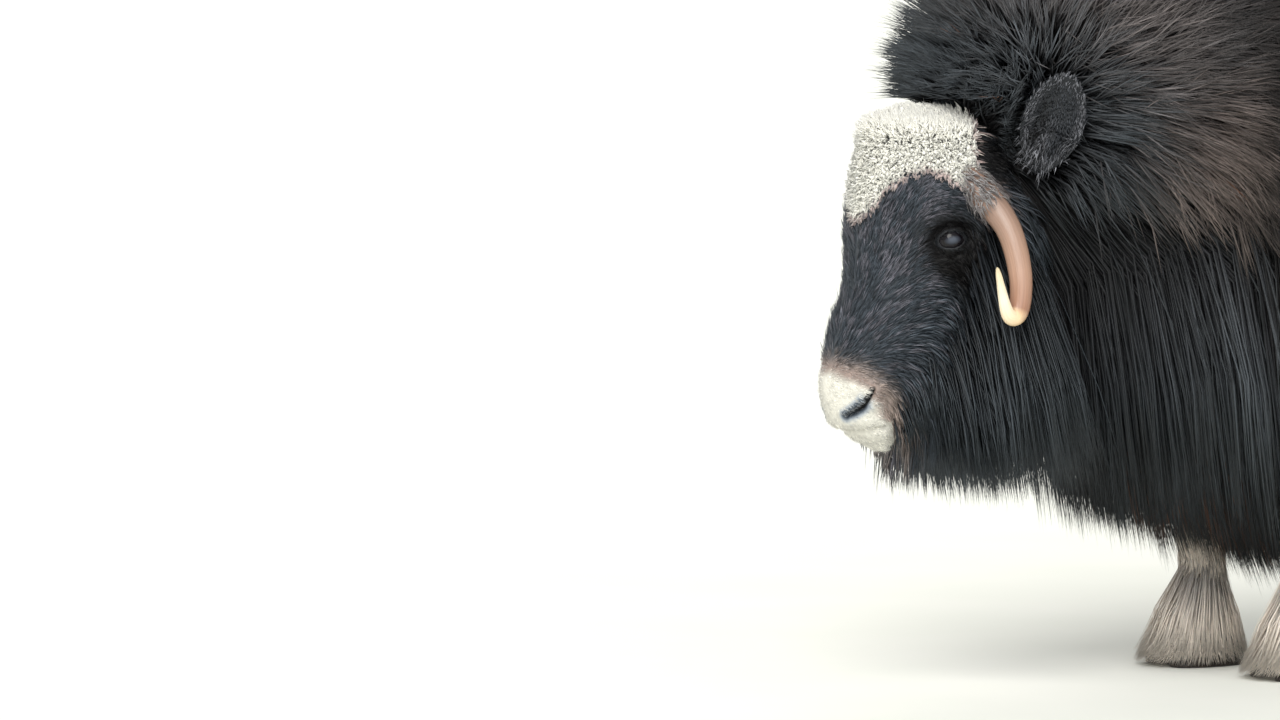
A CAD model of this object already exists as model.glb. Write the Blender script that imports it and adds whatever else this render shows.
# %% [markdown]
# # A muskox, life size
# The animal stands still on its four feet, in its winter coat. Under the coat is one skin, and over it
# lie more than 130,000 tufts of solid hair, which follow the lie of a real coat. Everything is in
# metres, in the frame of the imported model, so the first step loads that model and reads its box.

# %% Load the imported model
import math

import bmesh
import bpy
import numpy as np
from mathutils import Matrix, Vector
from mathutils.kdtree import KDTree


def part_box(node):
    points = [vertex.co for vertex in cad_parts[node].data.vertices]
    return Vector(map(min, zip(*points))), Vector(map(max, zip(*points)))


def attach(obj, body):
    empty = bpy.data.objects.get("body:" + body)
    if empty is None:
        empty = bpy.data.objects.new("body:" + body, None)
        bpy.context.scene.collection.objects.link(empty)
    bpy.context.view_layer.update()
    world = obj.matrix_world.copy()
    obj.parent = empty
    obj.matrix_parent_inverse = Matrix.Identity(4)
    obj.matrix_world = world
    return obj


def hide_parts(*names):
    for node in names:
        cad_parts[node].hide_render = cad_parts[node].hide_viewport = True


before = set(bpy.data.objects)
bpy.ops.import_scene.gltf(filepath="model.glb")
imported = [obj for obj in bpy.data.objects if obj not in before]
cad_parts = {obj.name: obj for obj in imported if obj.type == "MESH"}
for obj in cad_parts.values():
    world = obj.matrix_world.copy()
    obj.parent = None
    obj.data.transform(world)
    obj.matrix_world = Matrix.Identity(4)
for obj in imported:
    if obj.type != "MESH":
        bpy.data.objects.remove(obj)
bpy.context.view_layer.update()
rng = np.random.default_rng(5)

# %% [markdown]
# ## The named sizes
# The sizes below are those of the animal as it was measured: x runs forward from a point under the
# barrel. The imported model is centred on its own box, so one shift along x takes a measured place to
# the frame. It is read from the eye, whose measured place is known.

# %% Sizes of the body
EYE = {"place": (0.868, 0.087, 0.592), "radius": 0.020}
AHEAD = (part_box("eye_left")[0].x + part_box("eye_left")[1].x) / 2 - EYE["place"][0]
SHIFT = np.array([AHEAD, 0.0, 0.0])

# Each station of the trunk: x, top, bottom and half width of the woolly body, the depth of the long
# hair over it, and the height of the fringe's tips.
TRUNK = [
    (-0.780, 0.700, 0.610, 0.060, 0.055, 0.330),
    (-0.720, 0.800, 0.520, 0.150, 0.055, 0.290),
    (-0.600, 0.862, 0.440, 0.195, 0.052, 0.235),
    (-0.400, 0.890, 0.400, 0.215, 0.050, 0.190),
    (-0.150, 0.895, 0.385, 0.228, 0.046, 0.165),
    (0.100, 0.925, 0.385, 0.222, 0.050, 0.160),
    (0.300, 0.994, 0.400, 0.202, 0.070, 0.148),
    (0.450, 1.028, 0.425, 0.182, 0.082, 0.128),
    (0.570, 1.004, 0.460, 0.165, 0.092, 0.160),
    (0.680, 0.938, 0.500, 0.142, 0.092, 0.226),
    (0.770, 0.885, 0.545, 0.118, 0.090, 0.208),
    (0.835, 0.840, 0.620, 0.080, 0.090, 0.212),
]
WOOL_DEPTH = 0.036  # how far the skin lies inside the woolly body

# Each station of the head, from the crown down: z, front, back and half width over the short coat.
HEAD = [
    (0.744, 0.892, 0.805, 0.040),
    (0.730, 0.910, 0.778, 0.062),
    (0.700, 0.926, 0.752, 0.082),
    (0.650, 0.941, 0.744, 0.094),
    (0.600, 0.947, 0.748, 0.094),
    (0.560, 0.947, 0.760, 0.086),
    (0.520, 0.957, 0.779, 0.078),
    (0.480, 0.977, 0.804, 0.070),
    (0.440, 0.990, 0.832, 0.065),
    (0.408, 1.000, 0.862, 0.062),
    (0.384, 0.999, 0.882, 0.058),
    (0.364, 0.991, 0.893, 0.053),
    (0.352, 0.980, 0.899, 0.048),
    (0.341, 0.960, 0.903, 0.043),
    (0.330, 0.945, 0.908, 0.034),
    (0.321, 0.930, 0.913, 0.022),
]

# The middle of each foot, and the stations of a fore and a hind leg from inside the trunk down:
# z, how far ahead of the foot, half depth and half width.
FEET = {
    "front_left": (0.320, 0.100),
    "front_right": (0.355, -0.100),
    "hind_left": (-0.560, 0.105),
    "hind_right": (-0.480, -0.105),
}
FORE = [
    (0.500, 0.000, 0.092, 0.072),
    (0.380, -0.006, 0.072, 0.060),
    (0.280, -0.004, 0.054, 0.048),
    (0.225, 0.003, 0.048, 0.044),
    (0.150, 0.002, 0.039, 0.037),
    (0.095, 0.000, 0.038, 0.036),
    (0.065, 0.004, 0.044, 0.040),
    (0.036, 0.010, 0.050, 0.046),
]
HIND = [
    (0.560, 0.040, 0.130, 0.074),
    (0.420, 0.020, 0.088, 0.062),
    (0.320, -0.030, 0.058, 0.048),
    (0.260, -0.042, 0.050, 0.042),
    (0.170, -0.024, 0.040, 0.037),
    (0.095, -0.008, 0.039, 0.037),
    (0.065, 0.000, 0.045, 0.040),
    (0.036, 0.008, 0.050, 0.046),
]
TAIL = [(0.600, -0.776, -0.808, 0.016), (0.660, -0.755, -0.795, 0.018), (0.715, -0.730, -0.776, 0.018)]
EAR = {"base": (0.752, 0.104, 0.676), "tip": (0.738, 0.166, 0.800),
       "wide": 0.040, "deep": 0.020, "wall": 0.006}
EAR_FACING = (0.55, 0.80, 0.15)
# The horn's middle line and half thickness, from the root under the wool to the tip.
HORN = [
    (0.862, 0.050, 0.684, 0.024),
    (0.838, 0.092, 0.662, 0.022),
    (0.818, 0.144, 0.612, 0.017),
    (0.812, 0.168, 0.552, 0.015),
    (0.819, 0.176, 0.504, 0.013),
    (0.839, 0.182, 0.502, 0.009),
    (0.860, 0.190, 0.562, 0.003),
]
SIDES = {"left": 1, "right": -1}


# %% [markdown]
# ## The camera
# A long lens, nearly eight metres away, looks down a little on the animal's left cheek, a good way
# round from its side. The lens follows from how many pixels a metre takes up at that distance.

# %% Place the camera
IMAGE_WIDTH = 1280
PIXELS_PER_RADIAN = 6022
HORIZON_ABOVE_MIDDLE = 400  # pixels: the horizon lies above the picture
CAMERA_PLACE = (4.8345, 6.7086, 0.95)
CAMERA_HEADING = (-0.469, -0.883)

lens_data = bpy.data.cameras.new("camera")
lens_data.sensor_width = 36
lens_data.lens = PIXELS_PER_RADIAN / IMAGE_WIDTH * lens_data.sensor_width
lens_data.clip_end = 800
camera = bpy.data.objects.new("camera", lens_data)
bpy.context.scene.collection.objects.link(camera)
camera.location = Vector(CAMERA_PLACE) + Vector(SHIFT)
pitch = HORIZON_ABOVE_MIDDLE / PIXELS_PER_RADIAN
camera.rotation_euler = Vector((*CAMERA_HEADING, -pitch)).to_track_quat("-Z", "Y").to_euler()
bpy.context.scene.camera = camera
print("lens", round(lens_data.lens, 1), "mm")


# %% [markdown]
# ## Lofts: bodies through stations
# A trunk, a head and a leg are all round bodies that change size along one line. A loft keeps the
# sizes at a few stations and gives a smooth surface between them. It answers three questions: where
# is the surface, how far is a point above it, and which way is outwards there. The first shapes the
# skin, and the other two keep each hair of the coat on top of the body.

# %% The loft
def squared(value, power):
    """One coordinate of a rounded section: power 2 is an ellipse, more is squarer."""
    return np.sign(value) * np.abs(value) ** (2 / power)


def unit(vectors):
    return vectors / np.maximum(np.linalg.norm(vectors, axis=-1, keepdims=True), 1e-9)


def dot(a, b):
    return (a * b).sum(-1)


def ramp(low, high, value):
    """0 below low, 1 above high, and smooth between. Low may be the larger one."""
    t = np.clip((value - low) / (high - low), 0, 1)
    return t * t * (3 - 2 * t)


def side_factors(points):
    """Factors that bring points to the left side, and back again."""
    return np.sign(points[:, 1:2] + 1e-9) * [0, 1, 0] + [1, 0, 1]


def on_left(points):
    """The points, with those of the right side mirrored to the left."""
    return points * [1, 0, 1] + np.abs(points * [0, 1, 0])


class Loft:
    """A body through stations (place, high, low, half width) along x or z, with rounded ends."""

    def __init__(self, axis, stations, square, blunt, middle=0.0):
        rows = np.array(sorted(stations), float)
        self.axis = axis
        self.other = 2 - axis
        self.places = rows[:, 0]
        self.sizes = rows[:, 1:]
        self.slopes = np.gradient(self.sizes, self.places, axis=0)
        self.square = square
        self.blunt = blunt
        self.middle = middle

    def at(self, place):
        """The sizes at some places along the axis."""
        place = np.asarray(place, float)
        i = np.clip(np.searchsorted(self.places, place) - 1, 0, len(self.places) - 2)
        span = (self.places[i + 1] - self.places[i])[..., None]
        t = np.clip((place - self.places[i])[..., None] / span, 0, 1)
        start = self.sizes[i] * (1 + 2 * t) + self.slopes[i] * span * t
        finish = self.sizes[i + 1] * (3 - 2 * t) - self.slopes[i + 1] * span * (1 - t)
        return start * (1 - t) ** 2 + finish * t * t

    def section(self, place):
        """The middle, half height and half width of the sections, with the ends rounded off."""
        high, low, half = np.moveaxis(self.at(place)[..., :3], -1, 0)
        share = (place - self.places[0]) / (self.places[-1] - self.places[0])
        end = np.clip(1 - (2 * share - 1) ** 2, 1e-6, 1) ** (self.blunt / 2)
        return (high + low) / 2, (high - low) / 2 * end, half * end

    def point(self, place, angle):
        """Angle 0 is the left side, a quarter turn the top or the front."""
        centre, half_high, half_wide = self.section(place)
        found = np.empty(np.shape(place) + (3,))
        found[..., self.axis] = place
        found[..., 1] = self.middle + half_wide * squared(np.cos(angle), self.square)
        found[..., self.other] = centre + half_high * squared(np.sin(angle), self.square)
        return found

    def height(self, point):
        """How far points lie above the surface, less than nothing inside it."""
        centre, half_high, half_wide = self.section(point[..., self.axis])
        across = point[..., 1] - self.middle
        along = point[..., self.other] - centre
        ring = np.abs(across / half_wide) ** self.square + np.abs(along / half_high) ** self.square
        ring = np.maximum(ring, 1e-6) ** (1 / self.square)
        return np.hypot(across, along) * (1 - 1 / ring)

    def normal(self, point):
        step = 0.004
        base = self.height(point)
        slope = [self.height(point + step * np.eye(3)[i]) - base for i in range(3)]
        return unit(np.stack(slope, -1))


# %% [markdown]
# ## The skin
# One skin runs over the trunk, neck, head, ears, legs and tail, so no seam shows where the hair parts.
# Each part starts as Blender's round sphere, whose rings are moved to the loft's sections. That keeps
# even, well-ordered faces, which carve better than a remeshed block. The parts are then joined by
# Boolean unions, and the seams, which lie under the coat, are smoothed.

# %% Lofts of the skin
def thinner(rows, depth):
    """The trunk's stations with the wool taken off."""
    return [(x, top - depth, bottom + depth * 0.8, half - depth, *rest)
            for x, top, bottom, half, *rest in rows]


def leg_stations(rows, foot_x, depth):
    return [(z, foot_x + ahead + deep - depth, foot_x + ahead - deep + depth, half - depth)
            for z, ahead, deep, half in rows]


LEG_FUR = 0.006
trunk = Loft(0, thinner(TRUNK, WOOL_DEPTH * 0.5)[:1] + thinner(TRUNK, WOOL_DEPTH)[1:], 2.3, 0.3)
head = Loft(2, HEAD, 2.2, 0.25)
legs = {name: Loft(2, leg_stations(FORE if "front" in name else HIND, x, LEG_FUR), 2.0, 0.12, y)
        for name, (x, y) in FEET.items()}
tail = Loft(2, TAIL, 2.0, 0.6)
PART = {"trunk": 0, "head": 1, "leg": 2, "tail": 3, "ear": 4}


def unit_ball(around, along):
    """A bmesh ball whose verts are moved later, by their turn and their place from pole to pole."""
    bm = bmesh.new()
    bmesh.ops.create_uvsphere(bm, u_segments=around, v_segments=along, radius=1)
    return bm


def ball_verts(bm):
    return np.array([v.co for v in bm.verts])


def ball_places(bm):
    """Each vertex's angle round the ball, and its share of the way from pole to pole."""
    co = ball_verts(bm)
    polar = np.arctan2(np.hypot(co[:, 0], co[:, 1]), co[:, 2])
    return np.arctan2(co[:, 1], co[:, 0]), (1 - np.cos(polar)) / 2


def settle(bm, points):
    """Moves the verts to the points, in the frame, and makes the faces look outwards."""
    for vertex, point in zip(bm.verts, points + SHIFT):
        vertex.co = point
    bmesh.ops.recalc_face_normals(bm, faces=bm.faces)


def new_object(name, bm, part=None):
    mesh = bpy.data.meshes.new(name)
    if part is not None:
        layer = bm.faces.layers.int.new("part")
        for face in bm.faces:
            face[layer] = PART[part]
    bm.to_mesh(mesh)
    bm.free()
    made = bpy.data.objects.new(name, mesh)
    bpy.context.scene.collection.objects.link(made)
    return made


def loft_object(name, loft, around, along, part):
    bm = unit_ball(around, along)
    angle, share = ball_places(bm)
    place = loft.places[0] + share * (loft.places[-1] - loft.places[0])
    settle(bm, loft.point(place, angle))
    return new_object(name, bm, part)


def shade_smooth(piece):
    piece.data.polygons.foreach_set("use_smooth", [True] * len(piece.data.polygons))


def covered(piece, finish):
    """Gives a piece smooth faces and its finish."""
    shade_smooth(piece)
    piece.data.materials.append(finish)
    return piece


# %% [markdown]
# ## The face
# The head gets the most care. Its loft already has the long, steep profile of a muskox. Finer faces are
# laid round the eyes, the nostrils and the mouth first, and then each feature is carved by moving the
# verts along the outward direction: the brow that carries the eye, the lids that lie on the eyeball, the
# slanted comma of the nostril with its raised rim, and the lips that meet along one line.

# %% Carve the face
EYE_TURN = 0.32  # how far the eye looks ahead of straight sideways, in radians
EYE_OPENING = {"long": 0.0172, "upper": 0.0118, "lower": 0.0100}
LID = 0.0032  # how far the lids stand over the eyeball
NOSTRIL_BACK = np.array([0.966, 0.0575, 0.402])
NOSTRIL_FRONT = np.array([0.989, 0.0300, 0.367])
NOSTRIL_OUT = unit(np.array([0.72, 0.66, 0.05]))
MOUTH = {"front": 0.347, "corner": 0.353}
# Soft rises and hollows of the left side: middle, reach and height.
FACE_FORMS = {
    "round the eye": ((0.858, 0.094, 0.603), 0.040, 0.003),
    "brow": ((0.880, 0.082, 0.628), 0.022, 0.005),
    "hollow before the eye": ((0.915, 0.080, 0.560), 0.020, -0.003),
    "side of the nose": ((0.930, 0.070, 0.470), 0.040, 0.004),
    "forehead": ((0.935, 0.0, 0.725), 0.050, 0.0220),
}
# Long forms across the muzzle: how far from the lips' meeting line, half width and height.
LIP_FORMS = {
    "line of the mouth": (0.0, 0.0024, -0.0052),
    "upper lip": (0.010, 0.007, 0.0030),
    "lower lip": (-0.009, 0.007, 0.0030),
}


def eye_axes():
    """Forwards along the opening, up, and outwards from the left eye."""
    out = unit(np.array([math.sin(EYE_TURN), math.cos(EYE_TURN), 0.04]))
    forward = unit(np.cross(out, [0.18, 0, 1.0]))
    forward = forward if forward[0] > 0 else -forward
    up = np.cross(out, forward)
    return forward, up if up[2] > 0 else -up, out


def bump(point, centre, reach):
    return np.exp(-(np.linalg.norm(point - np.array(centre), axis=-1) / reach) ** 2)


def carve_eye(point):
    """Opens the lids over the left eyeball."""
    forward, up, out = eye_axes()
    from_eye = point - np.array(EYE["place"])
    a, b, h = from_eye @ forward, from_eye @ up, from_eye @ out
    tall = np.where(b > 0, EYE_OPENING["upper"], EYE_OPENING["lower"])
    ring = np.hypot(a / EYE_OPENING["long"], b / tall)
    ball = np.sqrt(np.maximum(EYE["radius"] ** 2 - a * a - b * b, 0))
    rim = ball + LID
    crease = 0.0016 * np.exp(-((ring - 1.85) / 0.16) ** 2) * (b > 0)
    lifted = h + (rim - h) * (1 - ramp(1.25, 2.6, ring)) - crease
    inside = ball - 0.005
    carved = inside + (lifted - inside) * ramp(0.9, 1.02, ring)
    near = (h > 0) & (ring < 3)
    return np.where(near[:, None], point + out * (carved - h)[:, None], point)


def nostril_ring(point):
    """How far points lie from the nostril's line across the skin, its width, and how far along they are."""
    line = NOSTRIL_FRONT - NOSTRIL_BACK
    t = np.clip((point - NOSTRIL_BACK) @ line / (line @ line), 0, 1)
    bow = 0.007 * np.sin(np.pi * t)[:, None] * np.array([-0.6, 0.1, -0.75])
    apart = point - (NOSTRIL_BACK + t[:, None] * line + bow)
    near = bump(point, (NOSTRIL_FRONT + NOSTRIL_BACK) / 2, 0.05)
    apart = apart - NOSTRIL_OUT * (near * (apart @ NOSTRIL_OUT))[:, None]
    gap = np.linalg.norm(apart, axis=-1)
    wide = 0.0030 + 0.0015 * np.sin(np.pi * t)
    return gap, wide, t


def mouth_height(angle):
    side = np.clip(np.abs(2 * angle / np.pi - 1), 0, 1.1)
    return MOUTH["front"] + (MOUTH["corner"] - MOUTH["front"]) * side ** 1.5


def carve_face(point, out, angle):
    """The head's surface with its features, from the plain loft."""
    side = side_factors(point)
    left = point * side
    front = ramp(-0.25, 0.25, np.sin(angle))
    lift = 0.004 + 0.005 * ramp(0.50, 0.56, point[:, 2])
    for middle, reach, height in FACE_FORMS.values():
        lift += height * bump(left, middle, reach)
    gap, wide, t = nostril_ring(left)
    lift += 0.0016 * np.exp(-((gap - wide * 2) / 0.005) ** 2)
    lift -= 0.008 * np.sqrt(np.clip(1 - (gap / wide) ** 2, 0, 1))
    between = ramp(0.352, 0.366, point[:, 2]) * ramp(0.425, 0.400, point[:, 2]) * front
    lift += 0.0030 * np.exp(-(point[:, 1] / 0.014) ** 2) * between
    above = point[:, 2] - mouth_height(angle)
    for middle, reach, height in LIP_FORMS.values():
        lift += height * np.exp(-((above - middle) / reach) ** 2) * front
    carved = point + out * lift[:, None]
    return carve_eye(carved * side) * side


def refine(bm, chosen, cuts):
    """Splits the edges whose middle is chosen, by the angle and share of the ball."""
    edges = []
    for edge in bm.edges:
        x, y, z = (edge.verts[0].co + edge.verts[1].co) / 2
        if chosen(math.atan2(y, x), (1 - z / math.sqrt(x * x + y * y + z * z)) / 2):
            edges.append(edge)
    bmesh.ops.subdivide_edges(bm, edges=edges, cuts=cuts, use_grid_fill=True)


def head_object():
    bm = unit_ball(120, 90)
    low, high = head.places[0], head.places[-1]

    def share_of(z):
        return (z - low) / (high - low)

    def features(angle, share):
        off = abs(angle - math.pi / 2)
        muzzle = share < share_of(0.42) and off < 1.75
        eye = share_of(0.56) < share < share_of(0.625) and 1.0 < off < 1.75
        return muzzle or eye

    def openings(angle, share):
        off = abs(angle - math.pi / 2)
        nostril = share_of(0.352) < share < share_of(0.412) and 0.35 < off < 1.3
        eye = share_of(0.573) < share < share_of(0.611) and 1.12 < off < 1.62
        return nostril or eye

    refine(bm, features, 1)
    refine(bm, openings, 1)
    angle, share = ball_places(bm)
    z = low + share * (high - low)
    around, along = 0.02, 0.002
    z_in = np.clip(z, low + along * 1.5, high - along * 1.5)
    turn = head.point(z_in, angle + around) - head.point(z_in, angle - around)
    rise = head.point(z_in + along, angle) - head.point(z_in - along, angle)
    out = unit(np.cross(rise, turn))
    base = head.point(z, angle)
    settle(bm, carve_face(base, out, angle))
    return new_object("head", bm, "head")


# %% [markdown]
# ## The ears
# A muskox's ear is a thick, furry cup, round at the tip, that stands out behind the horn. It starts as
# a ball too: the back bulges out, the front follows it inwards at the wall's thickness, and the rim is
# where they meet.

# %% Cup the ears
def ear_axes(side):
    base, tip = (np.array(EAR[end]) * [1, side, 1] for end in ("base", "tip"))
    facing = unit(np.array(EAR_FACING) * [1, side, 1])
    along = tip - base
    across = unit(np.cross(facing, along))
    facing = unit(np.cross(along, across))
    return base, along, across, facing if facing[1] * side > 0 else -facing


def ear_object(name, side):
    base, along, across, facing = ear_axes(side)
    bm = unit_ball(44, 32)
    level = Vector((0, 1, 0)).to_track_quat("Z", "Y").to_matrix()
    bmesh.ops.rotate(bm, cent=(0, 0, 0), verts=bm.verts, matrix=level)
    ball = ball_verts(bm)
    x, y, z = ball[:, 0], ball[:, 1], ball[:, 2]
    rise = (z + 1) / 2
    wide = EAR["wide"] * (0.62 + 0.38 * np.sin(np.pi * np.clip(rise * 0.72 + 0.1, 0, 1)))
    flat = np.clip(1 - x * x - z * z, 0, 1)
    hollow = -EAR["deep"] * flat ** 0.75 * ramp(-1.0, -0.2, z)
    thick = EAR["wall"] * (1 + 1.2 * ramp(0.1, -0.9, z))
    sideways, ahead = (x * wide)[:, None], (hollow + y * thick)[:, None]
    settle(bm, base + along * rise[:, None] + across * sideways + facing * ahead)
    return new_object(name, bm, "ear")


# %% Join the skin
def union(target, tools):
    for tool in tools:
        modifier = target.modifiers.new("join", "BOOLEAN")
        modifier.operation = "UNION"
        modifier.solver = "EXACT"
        modifier.object = tool
        with bpy.context.temp_override(object=target):
            bpy.ops.object.modifier_apply(modifier=modifier.name)
        bpy.data.objects.remove(tool)
    return target


def smooth_seams(bm, rings, rounds):
    """Smooths the skin where two parts meet, a few rings of faces to each side."""
    part = bm.faces.layers.int["part"]
    seam = {v for e in bm.edges if len({f[part] for f in e.link_faces}) > 1 for v in e.verts}
    for _ in range(rings):
        seam |= {w for v in seam for e in v.link_edges for w in e.verts}
    for _ in range(rounds):
        bmesh.ops.smooth_vert(bm, verts=list(seam), factor=0.5,
                              use_axis_x=True, use_axis_y=True, use_axis_z=True)


skin = loft_object("skin", trunk, 72, 84, "trunk")
parts = [head_object()]
parts += [loft_object("leg_" + name, loft, 32, 48, "leg") for name, loft in legs.items()]
parts += [loft_object("tail_core", tail, 20, 20, "tail")]
parts += [ear_object("ear_" + name, side) for name, side in SIDES.items()]
union(skin, parts)
bm = bmesh.new()
bm.from_mesh(skin.data)
smooth_seams(bm, 2, 6)
bmesh.ops.triangulate(bm, faces=bm.faces)
bm.to_mesh(skin.data)
bm.free()
shade_smooth(skin)
print("skin:", len(skin.data.polygons), "triangles")


# %% [markdown]
# ## An unwrap of the skin
# Each tuft will take its place on the texture from the skin at its root, so the skin is unwrapped
# first. Smart projection cuts the surface where it turns, which keeps every patch in true proportion.

# %% Unwrap
ROOT_MAP = "OFBake"


def unwrap(piece):
    piece.data.uv_layers.new(name=ROOT_MAP)
    bpy.context.view_layer.objects.active = piece
    piece.select_set(True)
    bpy.ops.object.mode_set(mode="EDIT")
    bpy.ops.mesh.select_all(action="SELECT")
    bpy.ops.uv.smart_project(angle_limit=math.radians(66), island_margin=0.002)
    bpy.ops.object.mode_set(mode="OBJECT")
    piece.select_set(False)


unwrap(skin)


def mesh_array(collection, name, width, kind=np.float32):
    values = np.empty(len(collection) * width, kind)
    collection.foreach_get(name, values)
    return values.reshape(-1, width) if width > 1 else values


SKIN_VERTS = mesh_array(skin.data.vertices, "co", 3).astype(float)
SKIN_NORMALS = mesh_array(skin.data.vertices, "normal", 3).astype(float)
SKIN_FACES = mesh_array(skin.data.loops, "vertex_index", 1, np.int32).reshape(-1, 3)
SKIN_UV = mesh_array(skin.data.uv_layers[ROOT_MAP].data, "uv", 2).reshape(-1, 3, 2).astype(float)
SKIN_PART = mesh_array(skin.data.attributes["part"].data, "value", 1, np.int32)
corners = SKIN_VERTS[SKIN_FACES]
one_edge, other_edge = corners[:, 1] - corners[:, 0], corners[:, 2] - corners[:, 0]
SKIN_AREA = np.linalg.norm(np.cross(one_edge, other_edge), axis=1) / 2
print("skin area", round(float(SKIN_AREA.sum()), 2), "square metres; parts", np.bincount(SKIN_PART))


# %% [markdown]
# ## Markings
# Skin and coat carry the same markings, so where the hair parts, the same colour lies under it. The
# markings are a formula of the place on the body: near-black long hair, warmer in the mane, a paler
# saddle, a cream forehead with a pinkish lower edge, a white muzzle, bare black skin round the eye and
# pale stockings. The formula is worked out once for each vertex and kept in a colour attribute.

# %% Colours of the coat
def colour(text):
    """A linear colour from its six hex digits."""
    value = np.array([int(text[i:i + 2], 16) for i in (0, 2, 4)]) / 255
    return np.where(value <= 0.04045, value / 12.92, ((value + 0.055) / 1.055) ** 2.4)


GUARD = colour("1a1d21")
MANE = colour("2d2a2b")
SADDLE = colour("6f5a48")
FACE = colour("40474f")
BARE = colour("0c0a0c")
CREAM = colour("fbf9ef")
CREAM_EDGE = colour("b9a4a0")
MUZZLE = colour("f6f3e8")
MUZZLE_EDGE = colour("a58f86")
CHEEK_TAN = colour("b3a198")
NOSE_SKIN = colour("4c5763")
WET_LIP = colour("b4bcc4")
LID_EDGE = colour("1e2126")
TEMPLE = colour("161517")
NOSTRIL_DARK = colour("0a0b0d")
EAR_HAIR = colour("303338")
STOCKING = colour("e6d8ca")


def mixed(first, second, share):
    return first + (second - first) * np.clip(share, 0, 1)[:, None]


def ragged(point, size):
    """A soft, uneven number between about -1 and 1, for edges that aren't ruled."""
    x, y, z = (point / size).T
    return (np.sin(x * 1.7 + np.sin(y * 2.3 + 1.3)) + np.sin(y * 1.9 + np.sin(z * 1.6))
            + np.sin(z * 2.1 + np.sin(x * 1.4 + 0.7))) / 3


TEMPLE_PLACE = (0.796, 0.095, 0.705)  # short black hair between the wool and the ear
EYE_SKIN = (0.874, 0.100, 0.584)  # the middle of the bare black skin round the eye


def eye_ring(point):
    """1 on the edge of the left eye's opening, less inside, and a large number away from it."""
    forward, up, out = eye_axes()
    from_eye = point - np.array(EYE["place"])
    tall = np.where(from_eye @ up > 0, EYE_OPENING["upper"], EYE_OPENING["lower"])
    ring = np.hypot(from_eye @ forward / EYE_OPENING["long"], from_eye @ up / tall)
    return np.where(from_eye @ out > 0, ring, 9)


def wool_share(point):
    """How far a place of the head lies in the woolly forehead."""
    x, y, z = point.T
    aside = np.abs(y)
    dip = 0.040 * ramp(0.895, 0.827, x) * ramp(0.05, 0.08, aside)
    edge = 0.620 + 0.066 * ramp(0.005, 0.075, aside) - dip
    edge = edge + 0.005 * ragged(point, 0.012)
    ahead = x - 0.53 * aside + 0.004 * ragged(point, 0.015)
    return ramp(edge - 0.006, edge + 0.008, z) * ramp(0.780, 0.792, ahead)


def muzzle_shares(point):
    """How far a place lies in the muzzle's white, in its pinkish edge and in the tan behind."""
    x, _, z = point.T
    below = 0.438 - 0.62 * (1.0 - x) - z + 0.004 * ragged(point, 0.010)
    rear = 0.966 - 0.014 * ramp(0.40, 0.37, z) - 0.062 * ramp(0.368, 0.340, z)
    rear = rear + 0.004 * ragged(point, 0.008)
    white = ramp(0.010, 0.026, below) * ramp(rear - 0.008, rear + 0.008, x)
    edge = ramp(0.002, 0.014, below) * ramp(rear - 0.012, rear, x)
    tan = ramp(-0.018, 0.010, below) * ramp(rear - 0.075, rear - 0.015, x) * ramp(0.348, 0.366, z)
    return white, edge, tan


def beside_horn(point):
    """How far a place of the head lies in the mauve strip before the horn."""
    x, _, z = point.T
    return ramp(0.845, 0.825, x) * ramp(0.785, 0.800, x) * ramp(0.550, 0.580, z) * ramp(0.675, 0.655, z)


def head_marking(point):
    x, y, z = point.T
    left = on_left(point)
    found = mixed(FACE, TEMPLE, 1.4 * bump(left, TEMPLE_PLACE, 0.050))
    found = mixed(found, CREAM_EDGE, 0.55 * beside_horn(point))
    white, edge, tan = muzzle_shares(point)
    found = mixed(found, CHEEK_TAN, tan * 0.85)
    found = mixed(found, MUZZLE_EDGE, edge)
    found = mixed(found, MUZZLE, white)
    gap, wide, t = nostril_ring(left)
    found = mixed(found, WET_LIP, ramp(wide + 0.010, wide + 0.004, gap) * ramp(0.15, 0.4, t))
    found = mixed(found, NOSE_SKIN, ramp(wide + 0.0055, wide + 0.0015, gap) * ramp(0.25, 0.5, t))
    found = mixed(found, NOSTRIL_DARK, ramp(wide * 1.1, wide * 0.6, gap) * ramp(1.25, 0.55, t))
    found = mixed(found, BARE, bump(left, EYE_SKIN, 0.040) * 2.2)
    found = mixed(found, LID_EDGE, ramp(0.16, 0.06, np.abs(eye_ring(left) - 1.12)))
    wool = wool_share(point)
    found = mixed(found, CREAM_EDGE, ramp(0.0, 0.35, wool))
    return mixed(found, CREAM, ramp(0.35, 1.0, wool))


def body_marking(point):
    x, y, z = point.T
    found = mixed(GUARD, MANE, ramp(0.28, 0.55, x) * ramp(0.42, 0.62, z))
    on_top = ramp(0.10, 0.03, np.abs(y) - 0.03 * ragged(point, 0.05)) * ramp(0.72, 0.84, z)
    saddle = on_top * ramp(-0.50, -0.34, x) * ramp(0.24, 0.10, x)
    return mixed(found, SADDLE, saddle * 0.85)


def leg_marking(point):
    high = ramp(0.235, 0.30, point[:, 2] + 0.012 * ragged(point, 0.02))
    return mixed(STOCKING, GUARD, high)


def marking(point, part):
    """The colour of places on the skin, given in the frame, by the part that they belong to."""
    point = point - SHIFT
    found = body_marking(point)
    for name, rule in (("head", head_marking), ("leg", leg_marking)):
        there = part == PART[name]
        found[there] = rule(point[there])
    found[part == PART["ear"]] = EAR_HAIR
    return found


def store_colour(mesh, name, values):
    layer = mesh.color_attributes.new(name=name, type="FLOAT_COLOR", domain="POINT")
    rgba = np.ones((len(values), 4), np.float32)
    rgba[:, :3] = values
    layer.data.foreach_set("color", rgba.ravel())


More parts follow.
